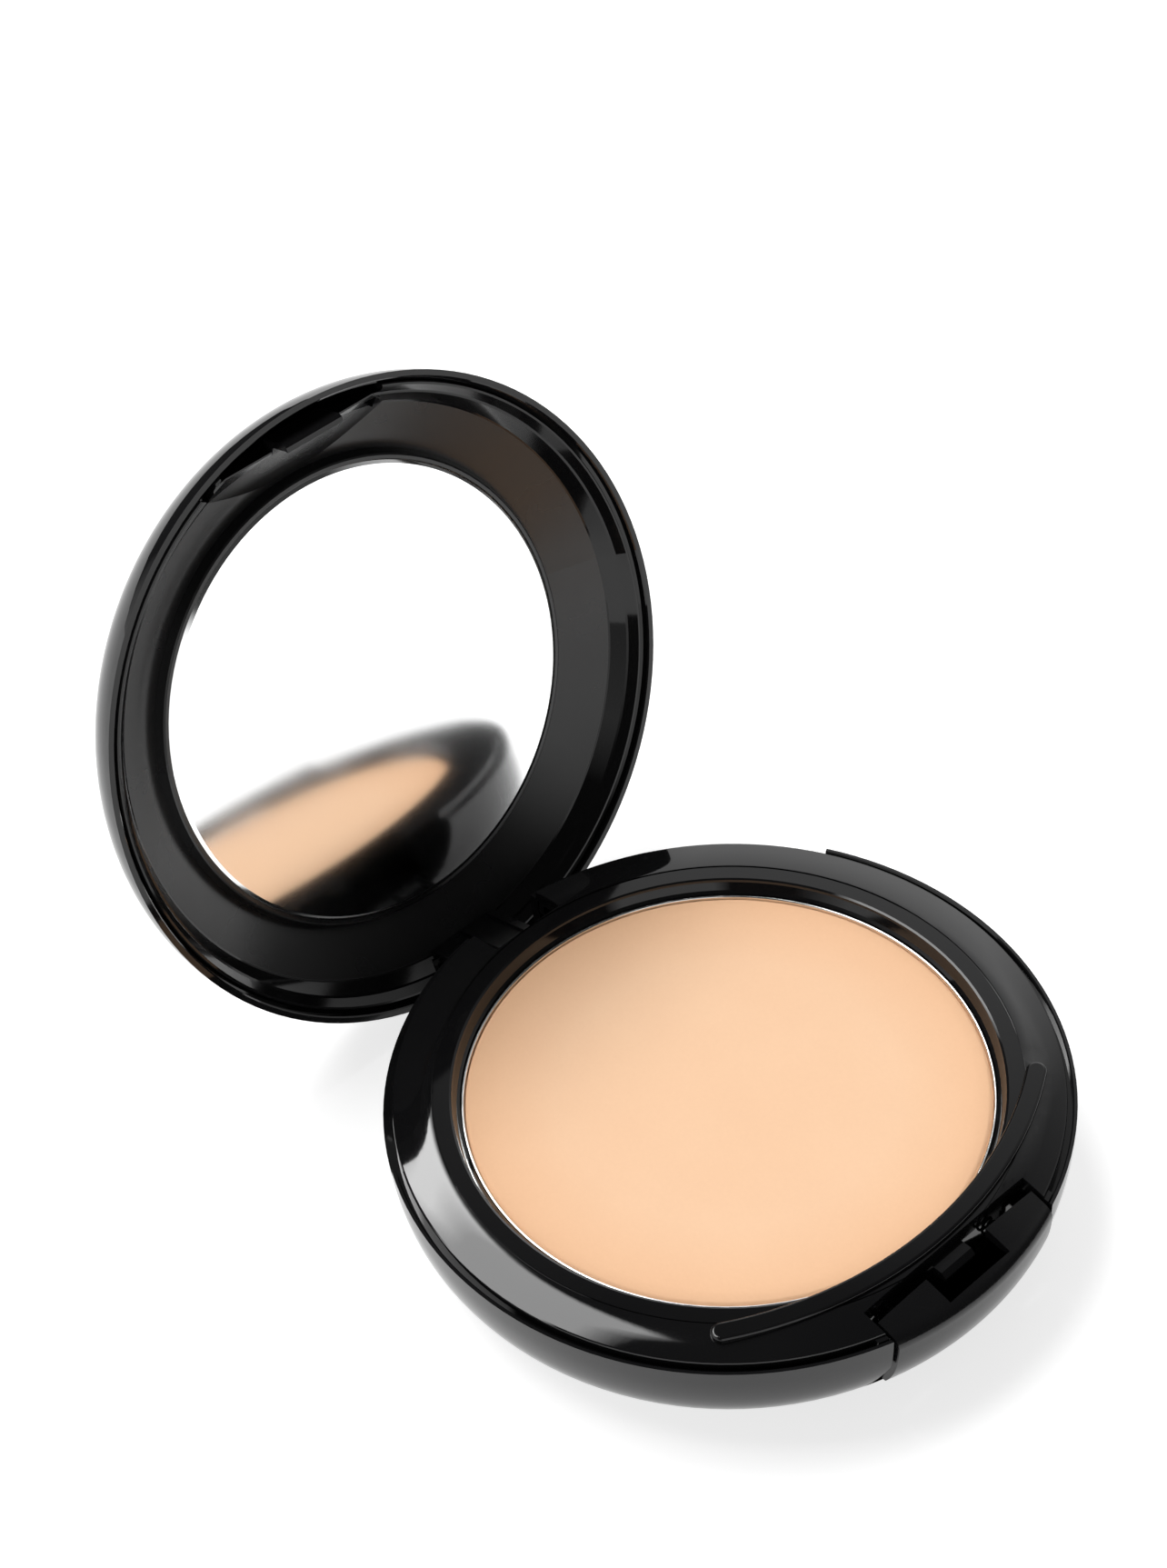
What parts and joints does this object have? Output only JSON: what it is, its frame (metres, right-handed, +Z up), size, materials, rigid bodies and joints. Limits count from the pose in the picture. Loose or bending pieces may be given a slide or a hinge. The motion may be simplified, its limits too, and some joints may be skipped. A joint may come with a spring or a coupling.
{
  "type": "powder compact",
  "caption": "Round black push-button powder compact, open, with a pressed powder pan in the base and a mirror in the hinged domed lid.",
  "frame": {"origin": "centre of the flat foot of the base, on the surface it stands on", "axes": "+Z up, the push button faces -Y and the hinge is at +Y, its axis along X"},
  "size_m": [0.0764, 0.1098, 0.0735],
  "materials": {
    "gloss_black": "polished moulded black plastic",
    "satin_black": "satin moulded black plastic",
    "pan_metal": "bright tinned sheet",
    "powder": "soft pressed powder, peach beige",
    "adhesive": "double-sided adhesive pad",
    "label": "blank silver-grey paper label",
    "steel": "drawn steel",
    "mirror_glass": "silvered glass"
  },
  "bodies": {
    "base": {"base_shell": "gloss_black", "base_tray": "gloss_black", "powder_pan": "pan_metal", "pan_adhesive": "adhesive", "pressed_powder": "powder", "base_label": "label", "hinge_pin": "steel", "button_springs": "steel"},
    "button": {"push_button": "satin_black"},
    "lid": {"lid_cover": "gloss_black", "lid_frame": "gloss_black", "mirror": "mirror_glass", "mirror_adhesive": "adhesive"}
  },
  "joints": [
    {"name": "lid_hinge", "type": "hinge", "parent": "base", "child": "lid", "pos_m": [0, 0.03485, 0.0062], "axis": [1, 0, 0], "range_deg": [0, 108]},
    {"name": "button_press", "type": "slide", "parent": "base", "child": "button", "axis": [0, 1, 0], "range_m": [0, 0.0012], "stiffness_N_per_m": 2500, "springref_m": -0.0006, "deforming": ["button_springs"]}
  ]
}
